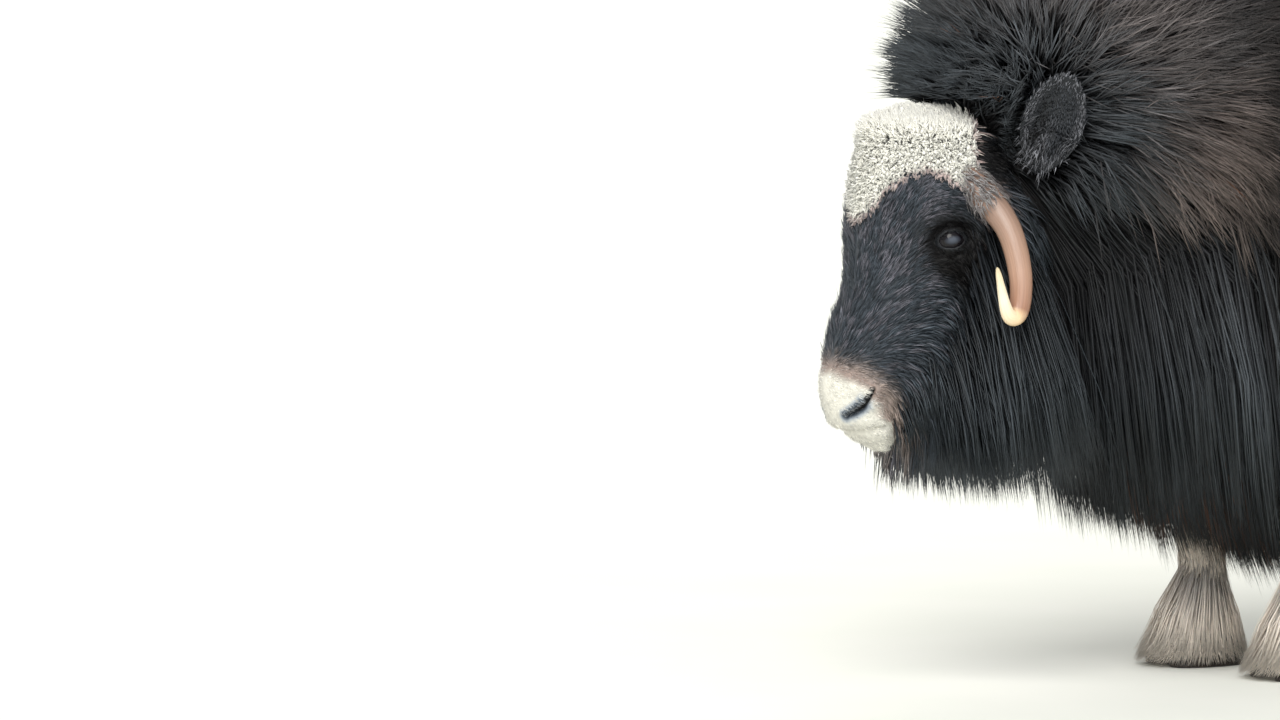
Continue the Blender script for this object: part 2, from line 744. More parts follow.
skin_vertex_part = np.zeros(len(SKIN_VERTS), np.int32)
skin_vertex_part[SKIN_FACES.ravel()] = np.repeat(SKIN_PART, 3)
store_colour(skin.data, "marking", marking(SKIN_VERTS, skin_vertex_part))


# %% [markdown]
# ## Finishes
# A finish is a small node tree. The helper below starts one from the marking's colour, so that each
# finish only adds what is its own: how much the colour varies, how glossy it is and what lies in its
# bump. Every number that is the same all over a surface is set on the shader's own socket.

# %% Helpers for finishes
class Finish:
    """A material under construction: nodes are added by name and joined by their sockets."""

    def __init__(self, name, **shader):
        self.material = bpy.data.materials.new(name)
        self.material.use_nodes = True
        self.tree = self.material.node_tree
        self.shader = self.tree.nodes["Principled BSDF"]
        for socket, value in shader.items():
            self.shader.inputs[socket.replace("_", " ")].default_value = value
        self.coords = self.tree.nodes.new("ShaderNodeTexCoord")

    def join(self, source, target):
        self.tree.links.new(source, target)

    def node(self, kind, **inputs):
        """A new node. Each input is a value, or a socket to join to it."""
        made = self.tree.nodes.new("ShaderNode" + kind)
        for name, value in inputs.items():
            socket = made.inputs[name.replace("_", " ")]
            if isinstance(value, bpy.types.NodeSocket):
                self.join(value, socket)
            else:
                socket.default_value = value
        return made

    def marking(self):
        """The colour that is kept in the piece's marking."""
        node = self.node("Attribute")
        node.attribute_name = "marking"
        return node.outputs["Color"]

    def map(self, name):
        node = self.node("UVMap")
        node.uv_map = name
        return node.outputs["UV"]

    def stretched(self, source, scale):
        return self.node("Mapping", Vector=source, Scale=scale).outputs["Vector"]

    def noise(self, scale, detail=3.0, stretch=(1, 1, 1), source=None):
        source = self.coords.outputs["Object"] if source is None else source
        place = self.stretched(source, stretch)
        return self.node("TexNoise", Vector=place, Scale=scale, Detail=detail).outputs["Fac"]

    def between(self, value, low, high):
        """A value from 0 to 1 brought between two numbers."""
        return self.node("MapRange", Value=value, To_Min=low, To_Max=high).outputs["Result"]

    def tinted(self, source, factor):
        """A colour made lighter or darker by a factor."""
        node = self.node("VectorMath")
        node.operation = "SCALE"
        self.join(source, node.inputs[0])
        self.join(factor, node.inputs["Scale"])
        return node.outputs["Vector"]

    def ramp(self, value, stops):
        node = self.node("ValToRGB", Fac=value)
        elements = node.color_ramp.elements
        while len(elements) < len(stops):
            elements.new(0.5)
        for element, (place, rgb) in zip(elements, stops):
            element.position = place
            element.color = (*rgb, 1)
        return node.outputs["Color"]

    def bumps(self, value, distance):
        node = self.node("Bump", Height=value, Distance=distance, Strength=1.0)
        self.join(node.outputs["Normal"], self.shader.inputs["Normal"])

    def coloured(self, source):
        self.join(source, self.shader.inputs["Base Color"])

    def roughened(self, source):
        self.join(source, self.shader.inputs["Roughness"])


def skin_finish():
    """Skin under hair: the marking, a little darker, with the fine lie of short fur in its bump."""
    finish = Finish("skin_under_the_coat", Specular_IOR_Level=0.4)
    finish.coloured(finish.tinted(finish.marking(),
                                  finish.between(finish.noise(90), 0.45, 0.95)))
    finish.roughened(finish.between(finish.noise(40), 0.45, 0.7))
    finish.bumps(finish.noise(420, 4), 0.0012)
    return finish.material


skin.data.materials.append(skin_finish())
flesh = [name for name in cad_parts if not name.startswith(("eye", "horn", "hoof"))]
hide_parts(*flesh)
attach(skin, "root")
print("the skin replaces", len(flesh), "nodes of flesh")


# %% [markdown]
# ## The eyes
# The eyeball is nearly black: a dark iris round a wide, level pupil with a blue-grey gleam. The wet
# layer over it mirrors the pale sky, so the finish has a clear coat. The pattern reads a map laid
# square to the gaze.

# %% Make the eyes
def eye_finish():
    finish = Finish("dark_wet_eye", Roughness=0.4, Specular_IOR_Level=0.0,
                    Coat_Weight=0.6, Coat_Roughness=0.20)
    gaze = finish.map("gaze")
    level = finish.stretched(gaze, (0.62, 1.25, 1))

    def length(source):
        node = finish.node("VectorMath")
        node.operation = "LENGTH"
        finish.join(source, node.inputs[0])
        return node.outputs["Value"]

    iris = finish.ramp(length(gaze), [
        (0.0, colour("0d0b10")), (0.50, colour("100d12")),
        (0.62, colour("08070a")), (0.80, colour("1c191d"))])
    pupil = finish.ramp(length(level), [(0.12, (0.0, 0.0, 0.0)), (0.36, (1.0, 1.0, 1.0))])
    both = finish.node("Mix")
    both.data_type = "RGBA"
    both.inputs["A"].default_value = (*colour("3b414c"), 1)
    finish.join(pupil, both.inputs["Factor"])
    finish.join(iris, both.inputs["B"])
    finish.coloured(both.outputs["Result"])
    return finish.material


def eye_object(name, side, finish):
    """An eyeball with the cornea's slight bulge, and a map square to the gaze."""
    bm = unit_ball(48, 32)
    ball = ball_verts(bm)
    forward, up, out = (axis * [1, side, 1] for axis in eye_axes())
    ball = ball[:, :1] * forward + ball[:, 1:2] * up + ball[:, 2:3] * out
    bulge = 1 + 0.045 * ramp(0.80, 0.95, ball @ out)
    settle(bm, np.array(EYE["place"]) * [1, side, 1] + ball * (EYE["radius"] * bulge)[:, None])
    layer = bm.loops.layers.uv.new("gaze")
    bm.verts.index_update()
    for face in bm.faces:
        for loop in face.loops:
            point = ball[loop.vert.index]
            loop[layer].uv = (point @ forward, point @ up)
    return covered(new_object(name, bm), finish)


def finished(piece, slot, *nodes):
    """Every piece rides on the one body, stands for its nodes and names its slot."""
    if nodes:
        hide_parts(*nodes)
    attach(piece, "root")


wet_eye = eye_finish()
for side_name, side in SIDES.items():
    finished(eye_object("eyeball_" + side_name, side, wet_eye), "eye", "eye_" + side_name)


# %% [markdown]
# ## The horns
# A young cow's horns are thin. They leave the forehead under the wool, hug the cheek downwards and hook
# forwards and up at the tip. Each is a round body drawn along a bent line, with faint rings near the
# root. Fine streaks run along it, and the colour goes from a pinkish tan to cream.

# %% Make the horns
def bent_line(rows, steps):
    """A smooth line through rows of numbers, with the direction along it."""
    rows = np.array(rows)
    slopes = np.gradient(rows, axis=0)
    t = np.linspace(0, len(rows) - 1, steps)
    i = np.minimum(t.astype(int), len(rows) - 2)
    s = (t - i)[:, None]
    return (rows[i] * (1 + 2 * s) * (1 - s) ** 2 + rows[i + 1] * s * s * (3 - 2 * s)
            + slopes[i] * s * (1 - s) ** 2 - slopes[i + 1] * s * s * (1 - s))


def horn_finish():
    finish = Finish("horn_keratin", Specular_IOR_Level=0.5, Coat_Weight=0.25, Coat_Roughness=0.25)
    along = finish.map("grain")
    split = finish.node("SeparateXYZ", Vector=along)
    base = finish.ramp(split.outputs["Y"], [
        (0.0, colour("77594c")), (0.25, colour("8a7265")), (0.50, colour("a8846f")),
        (0.66, colour("9a6f58")), (0.75, colour("efd0a6")), (0.90, colour("f9ebd0")),
        (1.0, colour("d9c8a4"))])
    grain = finish.noise(1.0, 4.0, (34, 5, 1), along)
    finish.coloured(finish.tinted(base, finish.between(grain, 0.72, 1.2)))
    finish.roughened(finish.between(grain, 0.3, 0.5))
    finish.bumps(grain, 0.0008)
    return finish.material


HORN_STEPS = 400  # along the finely drawn line of a horn


def horn_object(name, side, finish):
    bm = unit_ball(40, 110)
    angle, share = ball_places(bm)
    rows = bent_line(HORN, HORN_STEPS + 1)
    line, thick = rows[:, :3] * [1, side, 1], rows[:, 3]
    tangent = unit(np.gradient(line, axis=0))
    facing = np.array([0.5, 0.85 * side, 0])
    i = np.clip((share * HORN_STEPS).astype(int), 0, HORN_STEPS)
    across = unit(np.cross(facing, tangent[i]))
    out = np.cross(tangent[i], across)
    rings = 1 + 0.028 * np.sin(share * 150) * ramp(0.42, 0.12, share)
    end = np.sqrt(np.clip(1 - np.maximum((share - 0.97) / 0.03, 0) ** 2, 0, 1)) * ramp(-0.001, 0.01, share)
    size = (np.interp(share * HORN_STEPS, np.arange(HORN_STEPS + 1), thick) * rings * end)[:, None]
    settle(bm, line[i] + across * size * np.cos(angle)[:, None] + out * size * 0.86 * np.sin(angle)[:, None])
    layer = bm.loops.layers.uv.new("grain")
    bm.verts.index_update()
    for face in bm.faces:
        turns = [angle[loop.vert.index] / (2 * math.pi) + 0.5 for loop in face.loops]
        crosses = max(turns) - min(turns) > 0.5
        for loop, turn in zip(face.loops, turns):
            loop[layer].uv = (turn + (crosses and turn < 0.5), share[loop.vert.index])
    return covered(new_object(name, bm), finish)


keratin = horn_finish()
for side_name, side in SIDES.items():
    finished(horn_object("horn_sheath_" + side_name, side, keratin), "horn", "horn_" + side_name)


# %% [markdown]
# ## The hooves
# Each foot has two broad, rounded claws with a narrow cleft, flat on the floor, and they mostly hide in
# the hair. A claw starts as a ball that is squared up and flattened on the cleft side. It is then cut
# flat at the floor, and its lower edge is beveled. Growth rings run level round the wall.

# %% Make the hooves
HOOF = {"long": 0.057, "wide": 0.0255, "high": 0.056, "sole": 0.009,
        "ahead": 0.012, "cleft": 0.0018, "top": 0.047}
FLOOR_GAP = 0.0004  # how far the soles stand over the floor


def hoof_finish():
    finish = Finish("hoof_keratin", Specular_IOR_Level=0.45)
    level = finish.noise(60, 3, (1, 1, 14))
    finish.coloured(finish.ramp(level, [
        (0.3, colour("17120f")), (0.6, colour("2c231d")), (0.8, colour("4a3d33"))]))
    finish.roughened(finish.between(finish.noise(200), 0.35, 0.6))
    finish.bumps(level, 0.001)
    return finish.material


def cut_level(bm, height, up):
    """Cuts the claw off at a level, closes it there and returns the edges of the cut."""
    whole = bm.verts[:] + bm.edges[:] + bm.faces[:]
    cut = bmesh.ops.bisect_plane(bm, geom=whole, plane_co=(0, 0, height), plane_no=(0, 0, up),
                                 clear_inner=True)
    rim = [e for e in cut["geom_cut"] if isinstance(e, bmesh.types.BMEdge)]
    bmesh.ops.contextual_create(bm, geom=rim)
    return rim


def claw(centre, side):
    """One claw, with its flat face towards the cleft."""
    bm = unit_ball(36, 26)
    ball = ball_verts(bm)
    shape = squared(ball, 2.35)
    inner = shape[:, 1] * side < 0
    shape[:, 1] *= np.where(inner, 0.80, 1.0)
    shape[:, 1] += 0.06 * side * np.maximum(shape[:, 0], 0)
    rings = 1 + 0.012 * np.sin(ball[:, 2:3] * 42)
    lean = 1 - 0.16 * np.clip(shape[:, 2:3], 0, 1)
    points = shape * [HOOF["long"], HOOF["wide"], HOOF["high"]] * (rings * lean * [1, 1, 0] + [0, 0, 1])
    settle(bm, points + np.array(centre))
    rim = cut_level(bm, FLOOR_GAP, 1)
    bmesh.ops.bevel(bm, geom=rim, offset=0.0016, segments=2, profile=0.5, affect="EDGES", material=-1)
    cut_level(bm, HOOF["top"], -1)
    bmesh.ops.recalc_face_normals(bm, faces=bm.faces)
    return bm


def hooves_object(name, foot_x, foot_y, finish):
    bm = bmesh.new()
    for side in (1, -1):
        y = foot_y + side * (HOOF["wide"] + HOOF["cleft"])
        one = claw((foot_x + HOOF["ahead"], y, HOOF["sole"]), side)
        part = bpy.data.meshes.new("claw")
        one.to_mesh(part)
        one.free()
        bm.from_mesh(part)
        bpy.data.meshes.remove(part)
    made = covered(new_object(name, bm), finish)
    made.data.set_sharp_from_angle(angle=math.radians(40))
    return made


hoof_keratin = hoof_finish()
for foot, (x, y) in FEET.items():
    claws = hooves_object("claws_" + foot, x, y, hoof_keratin)
    finished(claws, "hoof", f"hoof_{foot}_outer", f"hoof_{foot}_inner")


# %% [markdown]
# ## Tools for the coat
# A coat is thousands of tufts with one plan. Each tuft has a root on the skin, a line that it follows
# and a colour that goes from root to tip. The export drops particle hair, so each tuft is a solid,
# three-sided blade that tapers to a point, and thousands of them are joined in one mesh from arrays,
# which takes Blender a moment where separate objects would take hours.

# %% Roots on the skin
DOWN = np.array([0.0, 0.0, -1.0])
SKIN_MIDDLES = corners.mean(1) - SHIFT
QUICK_SHARE = 1.0  # a thinner coat while trying things


class Roots:
    """Where tufts grow: their places, the way out of the skin there, their map places and parts."""

    def __init__(self, place, normal, uv, part):
        self.place, self.normal, self.uv, self.part = place, normal, uv, part
        self.count = len(place)

    def only(self, here):
        return Roots(self.place[here], self.normal[here], self.uv[here], self.part[here])


def scatter(count, weight):
    """Roots spread evenly over the skin, by a weight for each triangle."""
    count = int(count * QUICK_SHARE)
    chance = np.cumsum(SKIN_AREA * weight)
    face = np.searchsorted(chance, (np.arange(count) + rng.random(count)) / count * chance[-1])
    face = np.minimum(face, len(chance) - 1)
    a, b = np.sqrt(rng.random(count)), rng.random(count)
    share = np.stack([1 - a, a * (1 - b), a * b], 1)[..., None]
    verts = SKIN_FACES[face]
    return Roots((SKIN_VERTS[verts] * share).sum(1) - SHIFT, unit((SKIN_NORMALS[verts] * share).sum(1)),
                 (SKIN_UV[face] * share).sum(1), SKIN_PART[face])


def varied(count, spread):
    """Factors spread evenly around 1."""
    return 1 + spread * (2 * rng.random(count) - 1)


# %% [markdown]
# ## The line of a tuft
# Long hair leaves the skin, rises to its own height in the coat and then lies along the body, while
# gravity pulls it down. Each step asks the loft which way is outwards and how high the hair is, so it
# drapes over the barrel and hangs free below it. Short hair only bends from its first way to its last.
# Neighbours then lean towards one leader, which draws them into pointed locks.

# %% Draw and clump the lines
FINE_STEPS = 3  # steps of the drape for each step of the finished line


def draped(roots, surface, flow, length, rise, pull, steps):
    """Lines of long hair that lie over a loft and hang free below it."""
    point = roots.place
    path = [point]
    for k in range(steps * FINE_STEPS):
        t = (k + 0.5) / (steps * FINE_STEPS)
        inside = np.minimum(point, [TRUNK_FRONT, 9, 9])
        out = surface.normal(inside)
        way = flow(point)
        way = way - out * dot(way, out)[:, None] + DOWN * (pull * (0.25 + 0.75 * t))[:, None]
        way = way - out * np.minimum(dot(way, out), 0)[:, None]
        step = (length / (steps * FINE_STEPS))[:, None]
        short = np.clip(rise * ramp(-0.05, 0.70, t) - surface.height(inside), 0, None)[:, None]
        point = point + unit(way) * step + out * np.minimum(short, step * 1.2)
        path.append(point)
    return np.stack(path[::FINE_STEPS], 1)


def bent(roots, first, last, length, steps):
    """Lines of short hair that leave the skin one way and end another."""
    point = roots.place - roots.normal * 0.001
    path = [point]
    for k in range(steps):
        t = (k + 0.5) / steps
        point = point + unit(first * (1 - t) + last * t) * (length / steps)[:, None]
        path.append(point)
    return np.stack(path, 1)


def leaders_of(path, tufts_each):
    """For each tuft, the number of the leader that it leans towards."""
    leaders = rng.choice(len(path), max(1, len(path) // tufts_each), replace=False)
    tree = KDTree(len(leaders))
    for i, leader in enumerate(leaders):
        tree.insert(path[leader, 1], i)
    tree.balance()
    return leaders[[tree.find(point)[1] for point in path[:, 1]]]


def clumped(path, leader, strength, tousled=0.0, out=0.0):
    """Draws the tips of neighbours to their leader's, and each lock its own way along the body."""
    t = np.linspace(0, 1, path.shape[1])[None, :, None]
    own_way = tousled * rng.standard_normal((len(path), 3))[leader]
    own_way = (own_way - out * dot(own_way, out)[:, None] if tousled else own_way)[:, None]
    return path + (path[leader] - path) * strength * t ** 1.4 + own_way * t ** 1.6


def light_of(leader, by_lock, by_tuft):
    """How light each tuft is: locks differ, and so do the tufts in a lock."""
    noise = rng.standard_normal((2, len(leader)))
    return np.exp(by_lock * noise[0][leader] + by_tuft * noise[1])[:, None]


SHORTER, TRIES = 0.78, 9  # each try keeps this share of a line


def kept_clear(path, inside):
    """Shortens the lines that would reach into a space, down to a short stub."""
    root = path[:, :1]
    scale = np.ones(len(path))
    for _ in range(TRIES):
        tried = root + (path - root) * scale[:, None, None]
        scale = np.where(inside(tried).any(1), scale * SHORTER, scale)
    return root + (path - root) * scale[:, None, None]


# %% Spaces that the long hair leaves free
SPACE_AHEAD = 0.16  # how far a space reaches out from a horn or an ear
HORN_POINTS, BARE_FROM = 26, 7  # points along a horn, and the first that no hair covers
HORN_ROOM = 0.007
FACE_SPACE = {"from": 0.815, "low": 0.43, "high": 0.768, "wide": 0.16}


def swept_horn(points):
    """Inside, on or in front of the bare part of a horn, with a little room round it."""
    line = bent_line(HORN, HORN_POINTS)
    left = on_left(points)
    out = unit(np.array([0.45, 0.89, 0.05]))
    found = np.zeros(points.shape[:2], bool)
    for x, y, z, thick in line[BARE_FROM:]:
        gap = left - [x, y, z]
        ahead = np.clip(gap @ out, 0, SPACE_AHEAD)
        found |= np.linalg.norm(gap - ahead[..., None] * out, axis=-1) < thick + HORN_ROOM
    return found


def before_ear(points):
    """Inside an ear or in front of its cup."""
    base, along, across, facing = ear_axes(1)
    left = on_left(points)
    gap = left - base
    rise = gap @ along / (along @ along)
    ahead = gap @ facing
    wide = EAR["wide"] * 1.15
    beside = (np.abs(gap @ across) < wide) & (rise > -0.05) & (rise < 1.12)
    return beside & (ahead > -0.030) & (ahead < SPACE_AHEAD)


def before_face(points):
    """In front of the eyes and the short hair of the face."""
    x, y, z = np.moveaxis(points, -1, 0)
    level = (z > FACE_SPACE["low"]) & (z < FACE_SPACE["high"])
    return (x > FACE_SPACE["from"]) & level & (np.abs(y) < FACE_SPACE["wide"])


def reserved(points):
    return swept_horn(points) | before_ear(points) | before_face(points)


# %% [markdown]
# ## Weaving tufts into one mesh
# Each tuft gets a ring of three corners at each step of its line and one point at its tip. Its faces
# look outwards, its root is closed, and the corner colours go from root to tip. On the bake's map each
# tuft has its own patch, three thousandths across, at its root's place on the skin's unwrap.

# %% Weave
PATCH = 0.003
SIDES_OF_BLADE = ((0, 1), (1, 2), (2, 0))


def blade_faces(rings):
    """The triangles of one blade, as corner numbers and as places in its patch."""
    tip = 3 * rings
    corners, places = [], []
    for j, (p, q) in enumerate(SIDES_OF_BLADE):
        for k in range(rings - 1):
            p0, q0, p1, q1 = 3 * k + p, 3 * k + q, 3 * k + 3 + p, 3 * k + 3 + q
            corners += [(p0, p1, q1), (p0, q1, q0)]
            low, high = k / rings, (k + 1) / rings
            left, right = j / 3, (j + 0.94) / 3
            places += [((left, low), (left, high), (right, high)),
                       ((left, low), (right, high), (right, low))]
        last = 3 * (rings - 1)
        corners.append((last + p, tip, last + q))
        places.append(((j / 3, 1 - 1 / rings), ((j + 0.5) / 3, 1), ((j + 0.94) / 3, 1 - 1 / rings)))
    corners.append((0, 1, 2))
    places.append(((0, -0.02), (0.5, -0.16), (0.94, -0.02)))
    return np.array(corners), np.array(places)


def weave(name, path, width, roots, root_colour, tip_colour, finish, flat=0.42):
    """Joins blades along the paths in one mesh object."""
    count, rings = len(path), path.shape[1] - 1
    tangent = unit(np.gradient(path, axis=1))
    side = unit(np.cross(tangent, roots.normal[:, None]))
    ridge = np.cross(side, tangent)
    t = np.linspace(0, 1, rings + 1)[:-1]
    half = (width[:, None] / 2 * (0.75 + 0.9 * t) * (1 - t) ** 0.75)[..., None]
    body = path[:, :-1]
    ring = np.stack([body + side[:, :-1] * half, body - ridge[:, :-1] * half * 2 * flat,
                     body - side[:, :-1] * half], 2)
    verts = np.concatenate([ring.reshape(count, 3 * rings, 3), path[:, -1:]], 1) + SHIFT
    share = np.append(np.repeat(t, 3), 1.0)[None, :, None]
    tint = root_colour[:, None] + (tip_colour - root_colour)[:, None] * share ** 1.6
    faces, places = blade_faces(rings)
    per_blade = 3 * rings + 1
    loops = (faces.reshape(1, -1) + per_blade * np.arange(count)[:, None]).ravel()
    mesh = bpy.data.meshes.new(name)
    mesh.vertices.add(count * per_blade)
    mesh.vertices.foreach_set("co", verts.astype(np.float32).ravel())
    mesh.loops.add(len(loops))
    mesh.loops.foreach_set("vertex_index", loops.astype(np.int32))
    mesh.polygons.add(len(loops) // 3)
    mesh.polygons.foreach_set("loop_start", np.arange(0, len(loops), 3, dtype=np.int32))
    mesh.update(calc_edges=True)
    mesh.polygons.foreach_set("use_smooth", [True] * (len(loops) // 3))
    patch = roots.uv[:, None, None] + (places[None] - 0.5) * PATCH
    mesh.uv_layers.new(name=ROOT_MAP).data.foreach_set("uv", patch.astype(np.float32).ravel())
    store_colour(mesh, "marking", tint.reshape(-1, 3))
    mesh.materials.append(finish)
    made = bpy.data.objects.new(name, mesh)
    bpy.context.scene.collection.objects.link(made)
    print(f"{name}: {count} tufts, {len(loops) // 3} triangles")
    return made


def by_side(name, slot, path, width, roots, root_colour, tip_colour, finish, **shape):
    """The left and the right half of a coat, each a piece of its own."""
    for side_name, side in SIDES.items():
        here = roots.place[:, 1] * side > 0
        piece = weave(f"{name}_{side_name}", path[here], width[here], roots.only(here),
                      root_colour[here], tip_colour[here], finish, **shape)
        finished(piece, slot)


def small_coat(name, slot, roots, path, width, lock, light, root_colour, tip_colour, finish):
    """A coat in one piece. Lock is its tufts and strength, light how it differs by lock and tuft."""
    leader = leaders_of(path, lock[0])
    shade = light_of(leader, *light)
    path = clumped(path, leader, lock[1])
    width = width * varied(roots.count, 0.3)
    finished(weave(name, path, width, roots, root_colour * shade, tip_colour * shade, finish), slot)


# %% [markdown]
# ## The finish of hair
# Hair takes its colour from the tuft, with a little unevenness along it. Guard hair is glossy along its
# length, so the shine comes off thousands of narrow, rounded blades. Wool is dull, with a soft sheen.

# %% Hair finishes
def hair_finish(name, gloss, low, high, uneven=0.3, downy=0.0):
    finish = Finish(name, Specular_IOR_Level=gloss, Sheen_Weight=downy, Sheen_Roughness=0.6)
    finish.coloured(finish.tinted(finish.marking(),
                                  finish.between(finish.noise(150, 2), 1 - uneven, 1 + uneven)))
    finish.roughened(finish.between(finish.noise(30, 2), low, high))
    finish.bumps(finish.noise(900, 2), 0.0004)
    return finish.material


guard_hair = hair_finish("guard_hair", 0.32, 0.40, 0.58)
face_hair = hair_finish("face_hair", 0.38, 0.40, 0.60)
wool = hair_finish("forehead_wool", 0.12, 0.75, 0.9, 0.08, 0.8)
stocking_hair = hair_finish("stocking_hair", 0.22, 0.55, 0.75, 0.15, 0.6)


# %% [markdown]
# ## The lie of the long coat
# Round the head the mane stands out like a lion's, away from the face. Behind the shoulders it turns
# backwards along the spine and down the flanks. Below the widest line it hangs straight to a ragged
# fringe over the legs. One flow gives the direction anywhere on the trunk, and a few rules give each
# tuft its length and its height in the coat, so that mane, back, flank and rump pass into one another.

# %% Rules of the long coat
FACE_CENTRE = np.array([0.80, 0.0, 0.70])
TRUNK_FRONT = 0.79


def body_flow(point):
    """Back along the spine, down the flanks and the rump, and away from the face in the mane."""
    x, y, z = point.T
    sideways = ramp(0.25, 0.9, np.abs(y) / trunk.section(np.clip(x, -0.7, TRUNK_FRONT))[2])
    sideways = np.maximum(sideways, ramp(-0.42, -0.66, x))
    rear = ramp(-0.45, -0.70, x)
    along = np.stack([-1 + (0.72 + 0.25 * rear) * sideways, 0.1 * np.sign(y) * sideways,
                      -0.06 - 0.94 * sideways], -1)
    radial = point - FACE_CENTRE
    back = np.linalg.norm(radial[:, 1:], axis=1) * ramp(-0.1, 0.1, radial[:, 2])
    radial[:, 0] = -np.maximum(-radial[:, 0], 0) * ramp(-0.25, 0.0, radial[:, 2]) - 0.25 * back
    return unit(mixed(unit(along), unit(radial), ramp(0.36, 0.58, x)))


def around(point):
    """1 on the back's midline, 0 on the widest line and -1 under the belly."""
    centre, half_high, _ = trunk.section(np.clip(point[:, 0], -0.70, 0.80))
    return np.clip((point[:, 2] - centre) / half_high, -1, 1)


def long_coat(roots, steps):
    """Paths of the trunk's long hair, and the layer of the coat that each lies in."""
    x, y, z = roots.place.T
    sizes = trunk.at(x)
    depth, fringe = sizes[:, 3] + WOOL_DEPTH, sizes[:, 4]
    turn = around(roots.place)
    upper = 0.25 - 0.08 * ramp(0.1, 0.9, turn)
    hanging = np.maximum(z - fringe, 0.08)
    share = ramp(0.30, -0.15, turn + 0.1 * rng.standard_normal(roots.count))
    length = upper + (hanging * (0.70 + 0.40 * rng.random(roots.count)) - upper) * share
    length = length * varied(roots.count, 0.12)
    layer = 0.30 + 0.70 * np.sqrt(rng.random(roots.count))
    rise = depth * layer * (1 - 0.35 * ramp(-0.3, -0.9, turn))
    pull = 0.25 + 1.6 * ramp(0.5, -0.2, turn) + 0.2 * rng.random(roots.count)
    wander = unit(rng.standard_normal((roots.count, 3))) * 0.12

    def flow(point):
        return body_flow(point) + wander

    path = draped(roots, trunk, flow, length, rise, pull, steps)
    drop = np.maximum(z - path[:, -1, 2], 0.03)
    wanted = (z - fringe + 0.020) * (0.90 + 0.14 * rng.random(roots.count))
    length = length * (1 + (np.clip(wanted / drop, 0.7, 1.6) - 1) * share)
    return draped(roots, trunk, flow, length, rise, pull, steps), layer


def mane_coat(roots, steps):
    """Paths of the mane: it stands out from the body, so that mostly the tips show."""
    x, y, z = roots.place.T
    layer = 0.55 + 0.45 * np.sqrt(rng.random(roots.count))
    depth = trunk.at(np.minimum(x, 0.80))[:, 3] + WOOL_DEPTH
    crown = ramp(0.66, 0.76, x) * ramp(0.745, 0.775, z)
    turn = around(roots.place)
    length = depth * layer / 0.74 * varied(roots.count, 0.08)
    length *= 1 - 0.50 * ramp(0.72, 0.83, x)
    length *= 1 - 0.22 * ramp(0.75, 1.0, turn) * ramp(0.66, 0.52, x)
    flow = body_flow(roots.place)
    flow = unit(flow - roots.normal * dot(flow, roots.normal)[:, None])
    length += (np.clip(0.890 - 0.3 * np.abs(y) - x, 0.05, 0.16) * varied(roots.count, 0.12) - length) * crown
    wander = 0.21 * rng.standard_normal((roots.count, 3))
    low, crown = ramp(0.35, -0.25, turn)[:, None], crown[:, None]
    over_face = np.stack([np.ones_like(y), 2.5 * y, 2.4 * (z - 0.80)], -1)
    first = roots.normal + flow * (0.35 - 0.35 * crown) + over_face * crown * 0.5 + wander
    last = roots.normal * (0.65 - 0.35 * low) + flow * (1 - 0.9 * crown) + wander * 1.8
    last = last + over_face * crown + DOWN * (0.2 + 1.0 * low) * (1 - crown)
    return bent(roots, unit(first), unit(last), length, steps), layer


MANE_TIP = colour("8d7e78")
COOL_TIP = colour("474e54")
GUARD_TIP = colour("16191c")
RUST = colour("6c4a39")
SADDLE_TIP = colour("9a8069")


def long_colours(roots, path, layer, leader):
    """Root and tip colours: warm, pale tips in the mane, black guard hair with a few rusty locks."""
    x, y, z = roots.place.T
    base = marking(roots.place + SHIFT, roots.part)
    turn = around(roots.place)
    flat = roots.place * [1, 0, 1]
    patch = ramp(0.25, 0.75, 0.5 + 0.5 * ragged(roots.place, 0.07))
    warm = ramp(0.25, 0.50, x) * ramp(-0.1, 0.5, turn) * (0.15 + 0.35 * patch)
    warm = np.maximum(warm, bump(flat, (0.56, 0, 0.70), 0.10) * (0.6 + 0.4 * patch))
    warm *= 1 - ramp(0.22, 0.10, np.linalg.norm(roots.place - FACE_CENTRE, axis=1))
    warm *= ramp(0.26, 0.17, np.linalg.norm(path[:, -1] - path[:, 0], axis=1))
    tip = mixed(GUARD_TIP, COOL_TIP, ramp(0.50, 0.62, x) * ramp(-1.3, -0.2, turn))
    tip = mixed(tip, MANE_TIP, warm)
    saddle = dot(base, [1, 1, 1]) > dot(MANE, [1, 1, 1]) * 1.6
    tip = np.where(saddle[:, None], SADDLE_TIP, tip)
    lock = rng.random(roots.count)[leader]
    rusty = np.maximum(bump(flat, (0.66, 0, 0.45), 0.07), bump(flat, (0.59, 0, 0.59), 0.05))
    tip = np.where((lock < 0.003 + 0.25 * rusty)[:, None], RUST, tip)
    light = light_of(leader, 0.24, 0.24)
    light *= 1 - 0.35 * (ramp(0.66, 0.76, x) * ramp(0.80, 0.86, z))[:, None]
    temple = (1 - 0.6 * bump(on_left(roots.place), TEMPLE_PLACE, 0.07))[:, None]
    return base * 0.55 * light * temple, tip * light * temple * (0.45 + 0.55 * layer[:, None])


